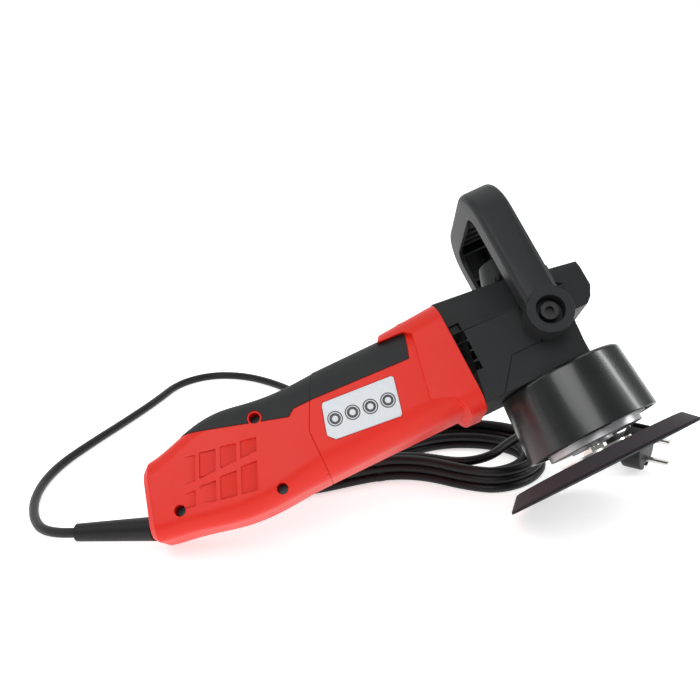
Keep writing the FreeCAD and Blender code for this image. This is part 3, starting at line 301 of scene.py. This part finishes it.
nearest = None
for place in mark_places:
    away = label_nodes.new("ShaderNodeVectorMath")
    away.operation = "DISTANCE"
    away.inputs[1].default_value = place
    label_links.new(label_places.outputs["Object"], away.inputs[0])
    distance = away.outputs["Value"]
    nearest = distance if nearest is None else label_math("MINIMUM", nearest, distance)
in_disc = label_math("LESS_THAN", nearest, mark_radius)
past_ring = label_math("GREATER_THAN", nearest, mark_ring[0])
before_edge = label_math("LESS_THAN", nearest, mark_ring[1])
in_ring = label_math("MULTIPLY", past_ring, before_edge)
in_spot = label_math("LESS_THAN", nearest, mark_spot)
pale = label_math("ADD", in_ring, in_spot)
dark = label_math("SUBTRACT", in_disc, pale)
foil_mottle = label_nodes.new("ShaderNodeTexNoise")
foil_mottle.inputs["Scale"].default_value = 300.0
label_links.new(label_places.outputs["Object"], foil_mottle.inputs["Vector"])
foil = label_nodes.new("ShaderNodeMix")
foil.data_type = "RGBA"
foil.inputs[6].default_value = (0.60, 0.63, 0.66, 1)
foil.inputs[7].default_value = (0.68, 0.71, 0.74, 1)
label_links.new(foil_mottle.outputs["Fac"], foil.inputs["Factor"])
print_on = label_nodes.new("ShaderNodeMix")
print_on.data_type = "RGBA"
print_on.inputs[7].default_value = (0.016, 0.018, 0.028, 1)
label_links.new(foil.outputs[2], print_on.inputs[6])
label_links.new(dark, print_on.inputs["Factor"])
label_links.new(print_on.outputs[2], label_shader.inputs["Base Color"])
label_shader.inputs["Roughness"].default_value = 0.34

slot_finish = {"red_shell": red, "soft_grip": grip_rubber, "head_casing": head_paint,
               "handle_plastic": handle_nylon, "gloss_shroud": shroud_gloss, "label": label_face,
               "gear_steel": steel, "bright_steel": bright, "laminations": laminated, "copper": copper,
               "fan_plastic": black_trim, "casting": alloy, "insulation": black_trim,
               "carbon": graphite, "board": board_green, "plate_body": plate_foam, "hooks": hook_pile,
               "flex": flex_rubber, "plug": plug_rubber, "tie": black_trim, "dark_screws": blackened}
slot_of = {part["node"]: part["material_slot"] for part in frame["record"]["subparts"]}


def wear(piece, material):
    piece.data.materials.clear()
    piece.data.materials.append(material)


for name, node in frame["nodes"].items():
    wear(node, slot_finish[slot_of[name]])
wear(flex, flex_rubber)


# ---- Shells with rounded edges -------------------------------------------------------------------
# The moulded and cast parts: every outside edge of the real ones is rounded over by the mould, so
# each gets a copy with its split faces joined again and a small round along its sharp edges.
edge_rounds = {"rear_handle_left": 0.0006, "rear_handle_right": 0.0006, "motor_housing": 0.0006,
               "gear_housing": 0.0007, "bearing_cover": 0.0005, "front_handle": 0.0006,
               "shroud": 0.0007, "backing_plate": 0.0006, "switch_button": 0.0006,
               "plug_body": 0.0006, "rear_grip_left": 0.0004, "rear_grip_right": 0.0004,
               "motor_grip": 0.0004}
body_of = {name: body for body, names in frame["record"]["behaviour"]["bodies"].items() for name in names}


def rounded(name, radius):
    """The node's surface with its doubled corners merged, its flat triangles joined into faces, and
    every edge that turns more than 32 degrees replaced by a strip of an arc of this radius."""
    node = frame["nodes"][name]
    work = bmesh.new()
    work.from_mesh(node.data)
    bmesh.ops.remove_doubles(work, verts=work.verts, dist=0.000005)
    bmesh.ops.dissolve_limit(work, angle_limit=math.radians(0.5), verts=work.verts, edges=work.edges)
    work.verts.index_update()
    places = [vertex.co[:] for vertex in work.verts]
    faces = [[vertex.index for vertex in face.verts] for face in work.faces]
    work.free()
    mesh = bpy.data.meshes.new(name + "_rounded")
    mesh.from_pydata(places, [], faces)
    mesh.shade_smooth()
    piece = bpy.data.objects.new(name + "_rounded", mesh)
    scene.collection.objects.link(piece)
    arc = piece.modifiers.new("arc", "BEVEL")
    arc.width = radius
    arc.segments = 2
    arc.limit_method = "ANGLE"
    arc.angle_limit = math.radians(32)
    arc.use_clamp_overlap = False
    arc.harden_normals = True
    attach(piece, body_of[name])
    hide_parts(name)
    wear(piece, slot_finish[slot_of[name]])
    return piece


for name, radius in edge_rounds.items():
    rounded(name, radius)

# ---- Floor and light -----------------------------------------------------------------------------
# A pale studio floor that curves up behind, under broad soft lights.
def sweep_grid():
    """A wide sheet: level in front, a quarter circle, then upright."""
    along = np.linspace(-6.0, 6.0, 3)
    turn = np.linspace(0, math.pi / 2, 13)
    profile = [(-4.0, 0.0), (3.2, 0.0)]
    profile += [(3.2 + 1.5 * math.sin(a), 1.5 - 1.5 * math.cos(a)) for a in turn[1:]]
    profile.append((4.7, 6.0))
    vertices = [(x, y, z) for y, z in profile for x in along]
    faces = []
    for row in range(len(profile) - 1):
        for column in range(2):
            first = row * 3 + column
            faces.append((first, first + 1, first + 4, first + 3))
    return vertices, faces


floor_mesh = bpy.data.meshes.new("studio_floor")
floor_places, floor_faces = sweep_grid()
floor_mesh.from_pydata(floor_places, [], floor_faces)
floor_mesh.shade_smooth()
floor = bpy.data.objects.new("studio_floor", floor_mesh)
scene.collection.objects.link(floor)
floor_glow = 0.62
floor_material, floor_nodes, floor_links, floor_shader = new_material("studio_paper")
floor_shader.inputs["Base Color"].default_value = (0.86, 0.86, 0.86, 1)
floor_shader.inputs["Roughness"].default_value = 0.85
floor_shader.inputs["Specular IOR Level"].default_value = 0.1
floor_shader.inputs["Emission Color"].default_value = (1, 1, 1, 1)
floor_shader.inputs["Emission Strength"].default_value = floor_glow
wear(floor, floor_material)

world = bpy.data.worlds.new("studio")
scene.world = world
world.use_nodes = True
world.node_tree.nodes["Background"].inputs["Color"].default_value = (0.97, 0.985, 1, 1)
world.node_tree.nodes["Background"].inputs["Strength"].default_value = 0.26


def softbox(name, place, target, size, power):
    light = bpy.data.lights.new(name, "AREA")
    light.shape = "RECTANGLE"
    light.size, light.size_y = size
    light.energy = power
    lamp = bpy.data.objects.new(name, light)
    scene.collection.objects.link(lamp)
    aim = (Vector(target) - Vector(place)).to_track_quat("-Z", "Y")
    lamp.matrix_world = Matrix.Translation(Vector(place)) @ aim.to_matrix().to_4x4()


head = tuple(tool(20, -50, 40))
softbox("key", (-0.75, -1.25, 1.55), (0, 0, 0.08), (1.3, 1.0), 15.5)
softbox("fill", (0.55, -1.5, 0.55), (0.05, 0, 0.08), (1.4, 0.8), 2.5)
softbox("top", (0.1, 0.5, 1.9), (0, 0.05, 0), (1.8, 1.2), 8.5)
softbox("edge_strip", (1.12, -0.18, 0.70), head, (0.12, 0.9), 5)
softbox("side_strip", (-0.95, 0.15, 0.55), (-0.1, 0, 0.1), (0.2, 0.9), 2)
scene.view_settings.view_transform = "Standard"
scene.view_settings.look = "None"
